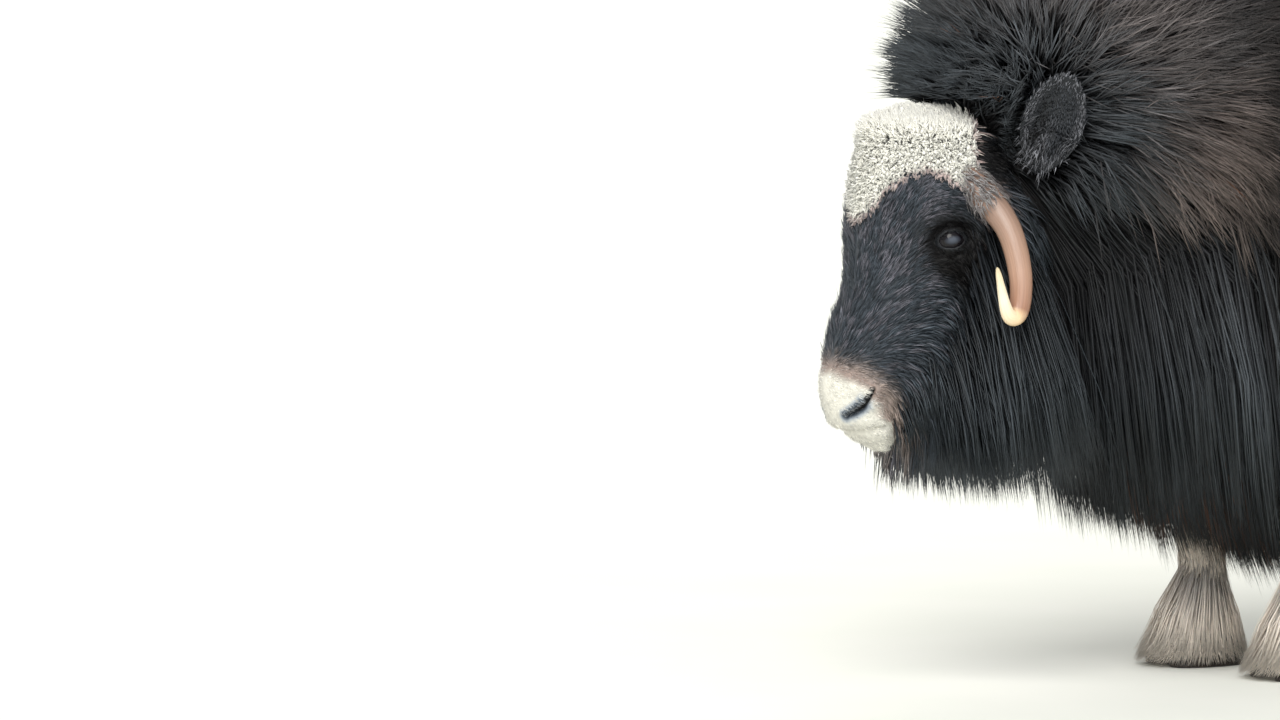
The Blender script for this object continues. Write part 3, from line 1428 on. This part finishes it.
TRUNK_HERE = SKIN_PART == PART["trunk"]
HERE_X = SKIN_MIDDLES[:, 0]
HERE_TURN = around(SKIN_MIDDLES)
MANE_ENDS = 0.38
RUMP_STARTS = -0.52
BACK_ABOVE = 0.55  # the turn above which hair belongs to the back
in_mane, behind = HERE_X > MANE_ENDS, (HERE_X <= MANE_ENDS) & (HERE_X > RUMP_STARTS)
upright = ramp(-0.38, 0.06, HERE_TURN)
REGIONS = {
    # name: lie, tufts, steps, where, width, tufts in a lock, strength of the locks, how tousled
    "mane": (mane_coat, 38000, 2, in_mane * upright, 0.0036, 7, 0.42, 0.012),
    "throat": (long_coat, 10200, 3, in_mane * (1 - upright), 0.0040, 8, 0.5, 0.010),
    "back": (long_coat, 6500, 2, behind & (HERE_TURN > BACK_ABOVE), 0.0052, 8, 0.5, 0.012),
    "flank": (long_coat, 10800, 3, behind & (HERE_TURN <= BACK_ABOVE), 0.0050, 10, 0.6, 0.012),
    "rump": (long_coat, 5000, 3, HERE_X <= RUMP_STARTS, 0.0056, 9, 0.6, 0.012),
}
LOWEST_LONG_HAIR = 0.03
for name, (lie, count, steps, where, width, in_lock, strength, tousled) in REGIONS.items():
    roots = scatter(count, TRUNK_HERE * where)
    path, layer = lie(roots, steps)
    leader = leaders_of(path, in_lock)
    path = kept_clear(clumped(path, leader, strength, tousled, roots.normal), reserved)
    path[..., 2] = np.maximum(path[..., 2], LOWEST_LONG_HAIR)
    root_colour, tip_colour = long_colours(roots, path, layer, leader)
    by_side(name, "coat", path, width * varied(roots.count, 0.3), roots, root_colour, tip_colour, guard_hair)


# %% [markdown]
# ## The short coat of the face
# On the nose the hair grows up the face and away from the midline, on the cheeks it turns back and
# down, and it lengthens towards the jaw until it joins the mane. Round the eye there is hardly any.
# The muzzle has the shortest hair of all, almost white.

# %% Hair of the face
STREAK = colour("9f98a3")
HEAD_HERE = SKIN_PART == PART["head"]
head_wool = wool_share(SKIN_MIDDLES)
head_white, head_edge, head_tan = muzzle_shares(SKIN_MIDDLES)
head_pale = np.maximum(head_white, head_edge)


def forwards(point):
    """1 on the midline of the face, 0 on its sides and -1 at the back of the cheeks."""
    centre, half_deep, _ = head.section(np.clip(point[:, 2], 0.335, 0.735))
    return np.clip((point[:, 0] - centre) / half_deep, -1, 1)


def face_lie(point):
    """The way that the hair of the face lies."""
    side = side_factors(point)
    z = point[:, 2]
    ahead = forwards(point)
    up = np.array([-0.35, 0.45, 0.9])
    back = np.array([-0.9, 0.25, -0.25])
    down = np.array([-0.42, 0.20, -0.9])
    found = mixed(back, up, ramp(0.35, 0.85, ahead) * ramp(0.42, 0.47, z))
    found = mixed(found, down, ramp(0.45, 0.0, ahead) * ramp(0.66, 0.60, z))
    found = mixed(found, np.array([-0.9, 0.1, 0.5]), 1.2 * bump(point * [1, 0, 1], (0.945, 0, 0.50), 0.05))
    return unit(found) * side


BROW = (0.886, 0.090, 0.668)
BARE_EYE = (0.872, 0.100, 0.590)  # the nearly bare ring round the eye


def face_length(point):
    """Short on the nose, longer down the cheeks and longest under the jaw."""
    left = on_left(point)
    ahead = forwards(point)
    z = point[:, 2]
    length = 0.021 + 0.025 * ramp(0.55, 0.05, ahead) + 0.060 * ramp(0.05, -0.75, ahead)
    length *= 0.55 + 0.45 * ramp(0.36, 0.44, z)
    length += 0.035 * ramp(-0.2, -0.8, ahead) * ramp(0.46, 0.38, z)
    length *= 1 - 0.45 * ramp(0.64, 0.68, z) * ramp(0.5, -0.2, ahead)
    length *= (1 - 0.7 * bump(left, TEMPLE_PLACE, 0.06)) * (1 - 0.85 * bump(left, BARE_EYE, 0.034))
    length *= 1 - 0.7 * beside_horn(point)
    _, edge, tan = muzzle_shares(point)
    length *= (1 - 0.45 * tan) * (1 - 0.55 * bump(left, BROW, 0.045))
    return length + (np.minimum(length, 0.009) - length) * edge


def face_coat(name, count, weight, finish, width, in_clump, strength):
    roots = scatter(count, weight)
    lie = face_lie(roots.place)
    lie = unit(lie - roots.normal * dot(lie, roots.normal)[:, None])
    lie = lie + 0.14 * rng.standard_normal((roots.count, 3))
    length = face_length(roots.place) * varied(roots.count, 0.3)
    brow = bump(on_left(roots.place), BROW, 0.045)
    lift = 0.16 + 0.45 * ramp(0.025, 0.08, length) + 0.35 * brow
    first = lie + roots.normal * (lift * 1.6)[:, None]
    last = lie + roots.normal * (lift * 0.35)[:, None] + DOWN * ramp(0.02, 0.09, length)[:, None] * 0.9
    path = bent(roots, unit(first), unit(last), length, 2)
    leader = leaders_of(path, in_clump)
    path = kept_clear(clumped(path, leader, strength), swept_horn)
    base = marking(roots.place + SHIFT, roots.part)
    light = light_of(leader, 0.16, 0.22)
    bridge = ramp(0.15, 0.7, forwards(roots.place)) * ramp(0.43, 0.50, roots.place[:, 2])
    brightness = dot(base, [1, 1, 1])
    dark, dark_skin = brightness < 0.3, ramp(0.05, 0.12, brightness)
    patchy = ramp(-0.3, 0.5, ragged(roots.place, 0.012)) * bridge
    streaked = (rng.random(roots.count)[leader] < 0.08 + 0.75 * patchy) * dark * dark_skin
    tip = mixed(base * 1.35, STREAK, streaked * (0.30 + 0.35 * rng.random(roots.count)))
    size = width * (0.6 + 0.4 * ramp(0.01, 0.05, length)) * varied(roots.count, 0.3)
    finished(weave(name, path, size, roots, base * 0.8 * light, tip * light, finish), "face")


dark_face = HEAD_HERE * (1 - head_pale) * (1 - head_wool)
far_back = ramp(0.4, -0.2, forwards(SKIN_MIDDLES))
face_coat("face_coat", 15000, dark_face * (1 - far_back), face_hair, 0.0022, 7, 0.4)
face_coat("cheek_coat", 6000, dark_face * far_back, face_hair, 0.0038, 7, 0.55)
face_coat("muzzle_coat", 4600, HEAD_HERE * head_pale, wool, 0.0017, 4, 0.3)

# %% Hair that hangs from the jaw and the back of the cheeks
JAW_FRINGE = 0.242
head_x, _, head_z = SKIN_MIDDLES.T
behind_cheek = ramp(0.66, 0.58, head_z) * ramp(0.0, -0.5, forwards(SKIN_MIDDLES))
under_jaw = ramp(0.46, 0.40, head_z) * ramp(0.30, 0.0, forwards(SKIN_MIDDLES)) * ramp(0.896, 0.880, head_x)
roots = scatter(4800, HEAD_HERE * np.maximum(behind_cheek, under_jaw) * (1 - head_tan) * (1 - head_white))
length = np.maximum(roots.place[:, 2] - JAW_FRINGE, 0.03) * (0.80 + 0.26 * rng.random(roots.count))
length *= 0.40 + 0.60 * ramp(0.895, 0.855, roots.place[:, 0])
sway = 0.08 * rng.standard_normal((roots.count, 3)) + [-0.12, 0, 0]
path = bent(roots, unit(roots.normal * [0.3, 0.6, 0.3] + DOWN + sway), unit(DOWN + sway), length, 3)
small_coat("jaw_hair", "face", roots, path, 0.0036, (8, 0.5), (0.2, 0.2), GUARD, COOL_TIP, guard_hair)


# %% [markdown]
# ## The woolly forehead
# Between the horns grows a cap of dense wool. Each short tuft leaves the skin at a slant, lies down
# towards the brow and winds a little. On the crown the tufts are longer and stand up. Along the lower
# edge the colour turns pinkish.

# %% Curl the wool
def curled(path, wide, turns):
    """Winds each line round its own middle."""
    tangent = unit(np.gradient(path, axis=1))
    side = unit(np.cross(tangent, rng.standard_normal((len(path), 1, 3))))
    other = np.cross(tangent, side)
    t = np.linspace(0, 1, path.shape[1])
    phase = 2 * np.pi * (turns * t + rng.random((len(path), 1)))
    reach = (wide[:, None] * ramp(0, 0.4, t))[..., None]
    return path + reach * (side * np.cos(phase)[..., None] + other * np.sin(phase)[..., None])


roots = scatter(11500, HEAD_HERE * ramp(0.02, 0.25, head_wool))
x, y, z = roots.place.T
wool_here = wool_share(roots.place)
inner, high = ramp(0.2, 0.9, wool_here), ramp(0.705, 0.745, z)[:, None]
lying = np.stack([0.1 * np.ones_like(y), np.sign(y) * 0.25, -0.80 + 0.45 * inner], -1)
lying = lying * (1 - high) + np.array([0.35, 0.0, 0.8]) * high
first = roots.normal * 0.60 + lying * 0.7 + 0.20 * rng.standard_normal((roots.count, 3))
last = roots.normal * 0.10 + lying + 0.30 * rng.standard_normal((roots.count, 3))
length = (0.013 + 0.018 * high[:, 0] * ramp(0.95, 0.45, roots.normal[:, 2])) * varied(roots.count, 0.25)
path = bent(roots, unit(first), unit(last), length, 2)
leader = leaders_of(path, 6)
path = curled(clumped(path, leader, 0.4), 0.0016 * varied(roots.count, 0.5), 0.7)
base = mixed(CREAM_EDGE, CREAM, ramp(0.35, 0.92, wool_here))
piece = weave("forehead_wool", path, 0.0045 * varied(roots.count, 0.3), roots,
              base, base * light_of(leader, 0.03, 0.04), wool, flat=0.25)
finished(piece, "face")

# %% Hair over the roots of the horns
HORN_HAIR = colour("6d6464")
HAIRY_UNTIL = 0.26  # the share of the horn that hair covers
HORN_LINE = bent_line(HORN, HORN_STEPS + 1)
near_horn = np.linalg.norm(on_left(SKIN_MIDDLES) - HORN[1][:3], axis=1)
roots = scatter(1800, HEAD_HERE * ramp(0.05, 0.03, near_horn))
mirror = side_factors(roots.place)
share = 0.03 + (HAIRY_UNTIL - 0.03) * rng.random(roots.count)
i = (share * HORN_STEPS).astype(int)
tangent = unit(np.gradient(HORN_LINE[:, :3], axis=0))[i]
around_horn = unit(np.cross(tangent, rng.standard_normal((roots.count, 3))))
roots.place = (HORN_LINE[i, :3] + around_horn * HORN_LINE[i, 3:] * 0.9) * mirror
roots.normal = around_horn * mirror
wander = 0.2 * rng.standard_normal((roots.count, 3))
first = tangent * 0.7 + around_horn * 0.5 + wander
last = tangent + around_horn * 0.05 + DOWN * 0.4 + wander
length = 0.020 * varied(roots.count, 0.35)
path = bent(roots, unit(first * mirror), unit(last * mirror), length, 2)
tint = mixed(CREAM, HORN_HAIR, ramp(0.06, 0.14, share + 0.03 * wander[:, 0]))
small_coat("horn_root_hair", "face", roots, path, 0.0024, (5, 0.4), (0.06, 0.08), tint * 0.85, tint, wool)


# %% [markdown]
# ## Ears and stockings
# The back and rim of the ear have short dark hair, and paler, longer hair fills the cup from below. The
# lower legs have short pale hair that lies down the bone and then fans out over the hooves.

# %% Hair of the ears
INNER_EAR = colour("8f9097")
HOLLOW_EAR = colour("131315")
roots = scatter(5200, (SKIN_PART == PART["ear"]).astype(float))
side = np.where(roots.place[:, 1] > 0, 1, -1)
axes = {s: ear_axes(s) for s in (1, -1)}
base, along, across, facing = (np.array([axes[s][i] for s in side]) for i in range(4))
inside = ramp(0.2, 0.7, dot(roots.normal, facing))
rise = dot(roots.place - base, along) / dot(along, along)
ahead = dot(roots.place - base, across) * np.sign(across[:, 0]) / EAR["wide"]
along = unit(along)
low = ramp(0.55, 0.25, rise)
length = (0.008 + inside * (0.003 + 0.014 * low)) * varied(roots.count, 0.3)
first = along * 0.8 + roots.normal * 0.5 + 0.25 * rng.standard_normal((roots.count, 3))
last = along * (1.1 - 2.0 * (low * inside)[:, None]) + roots.normal * 0.2
last = last + 0.2 * rng.standard_normal((roots.count, 3))
path = bent(roots, unit(first), unit(last), length, 2)
rim = ramp(0.62, 0.90, np.hypot(ahead, (rise - 0.5) / 0.5)) * inside
hollow = inside * np.exp(-((ahead - 0.42) / 0.26) ** 2) * ramp(0.85, 0.60, rise) * ramp(0.15, 0.3, rise)
pale = np.maximum(0.75 * rim, inside * low * np.exp(-((ahead - 0.15) / 0.22) ** 2))
tip = mixed(mixed(EAR_HAIR * 1.5, INNER_EAR, pale), HOLLOW_EAR, hollow)
small_coat("ear_coat", "ear", roots, path, 0.0018, (4, 0.35), (0.15, 0.2), tip * 0.6, tip, face_hair)

# %% Hair of the legs
STOCKING_TIP = colour("efe2d2")
FOOTPRINT = {"long": 0.081, "wide": 0.067, "ahead": 0.018}  # the hair's outline on the floor round a foot
LOWEST_STOCKING = 0.003
FLARE_FROM, FLARE_ALL = 0.150, 0.110  # heights where the hair starts to fan out over the hoof
low = SKIN_MIDDLES[:, 2] < FLARE_FROM
roots = scatter(11500, (SKIN_PART == PART["leg"]) * ramp(0.40, 0.28, SKIN_MIDDLES[:, 2]) * (1 + 2.6 * low))
x, y, z = roots.place.T
flare = ramp(FLARE_FROM, FLARE_ALL, z)
high = ramp(0.24, 0.33, z)
level = unit(roots.normal * [1, 1, 0])
wander = 0.05 * rng.standard_normal((roots.count, 3))
length = (0.022 + 0.10 * high) * varied(roots.count, 0.25)
plain = bent(roots, unit(DOWN + level * 0.16 + wander), unit(DOWN + level * 0.04 + wander), length, 2)
feet = np.array(list(FEET.values()))
foot = feet[np.argmin(np.linalg.norm(roots.place[:, None, :2] - feet, axis=2), axis=1)]
foot = np.column_stack([foot + [FOOTPRINT["ahead"], 0], np.zeros(roots.count)])
toe = foot + level * [FOOTPRINT["long"], FOOTPRINT["wide"], 0] * varied(roots.count, 0.05)[:, None]
toe[:, 2] = LOWEST_STOCKING + 0.020 * rng.random(roots.count) ** 2
root = plain[:, 0]
middle = root + (toe - root) * [0.54, 0.54, 0.48] + wander * 0.05
fanned = np.stack([root, middle, toe], 1)
path = plain + (fanned - plain) * (flare[:, None, None] > rng.random((roots.count, 1, 1)))
leader = leaders_of(path, 6)
path = clumped(path, leader, 0.15)
path[..., 2] = np.maximum(path[..., 2], LOWEST_STOCKING)
base = marking(roots.place + SHIFT, roots.part)
tip = mixed(base * 1.2, STOCKING_TIP, ramp(0.27, 0.22, z) * 0.8)
streak = 1 - 0.25 * (rng.random(roots.count) < 0.06)
light = light_of(leader, 0.05, 0.07) * streak[:, None]
width = (0.0028 + 0.0010 * flare) * varied(roots.count, 0.3)
by_side("stocking", "stocking", path, width, roots, base * light, tip * light, stocking_hair, flat=0.25)

# %% Hair of the tail
roots = scatter(700, (SKIN_PART == PART["tail"]).astype(float))
level = roots.normal * [1, 1, 0]
length = 0.09 * varied(roots.count, 0.3)
path = bent(roots, unit(level + DOWN), unit(level * 0.2 + DOWN), length, 3)
small_coat("tail_hair", "coat", roots, path, 0.005, (8, 0.6), (0.2, 0.2), GUARD, GUARD_TIP, guard_hair)


# %% [markdown]
# ## Floor and light
# The floor is plain and pale, like snow under an overcast sky, and it runs on past the edge of the
# picture, because the camera looks down. Lamps near the animal would leave a bright pool on it, so the
# light comes from suns instead, which reach the whole floor alike, with wide angles for soft shadows.

# %% Set the stage
def stage_finish():
    finish = Finish("pale_floor", Roughness=0.9, Specular_IOR_Level=0.2)
    finish.coloured(finish.ramp(finish.noise(2.5), [(0.3, colour("eeefe8")), (0.7, colour("f2f2ec"))]))
    return finish.material


FLOOR_SIZE = 600
bm = bmesh.new()
bmesh.ops.create_grid(bm, x_segments=1, y_segments=1, size=FLOOR_SIZE / 2)
floor = new_object("floor", bm)
floor.data.materials.append(stage_finish())

sky = bpy.data.worlds.new("pale_surroundings")
sky.use_nodes = True
sky.node_tree.nodes["Background"].inputs["Color"].default_value = (*colour("f4f6f4"), 1)
sky.node_tree.nodes["Background"].inputs["Strength"].default_value = 0.66
bpy.context.scene.world = sky

LIGHTS = {
    # name: the way to the light, strength, how wide it looks in degrees, colour
    "key": ((0.75, 0.70, 0.85), 2.5, 40, (1.0, 0.98, 0.94)),
    "fill": ((0.3, 1.0, 0.12), 1.4, 60, (0.94, 0.97, 1.0)),
    "rim": ((-0.6, -0.8, 0.8), 0.7, 40, (1.0, 0.97, 0.93)),
}
for name, (way, strength, width, tint) in LIGHTS.items():
    data = bpy.data.lights.new(name, "SUN")
    data.energy = strength
    data.angle = math.radians(width)
    data.color = tint
    light = bpy.data.objects.new(name, data)
    bpy.context.scene.collection.objects.link(light)
    light.rotation_euler = Vector(way).to_track_quat("Z", "Y").to_euler()
print(len(LIGHTS), "soft lights")
bpy.context.scene.view_settings.view_transform = "Standard"
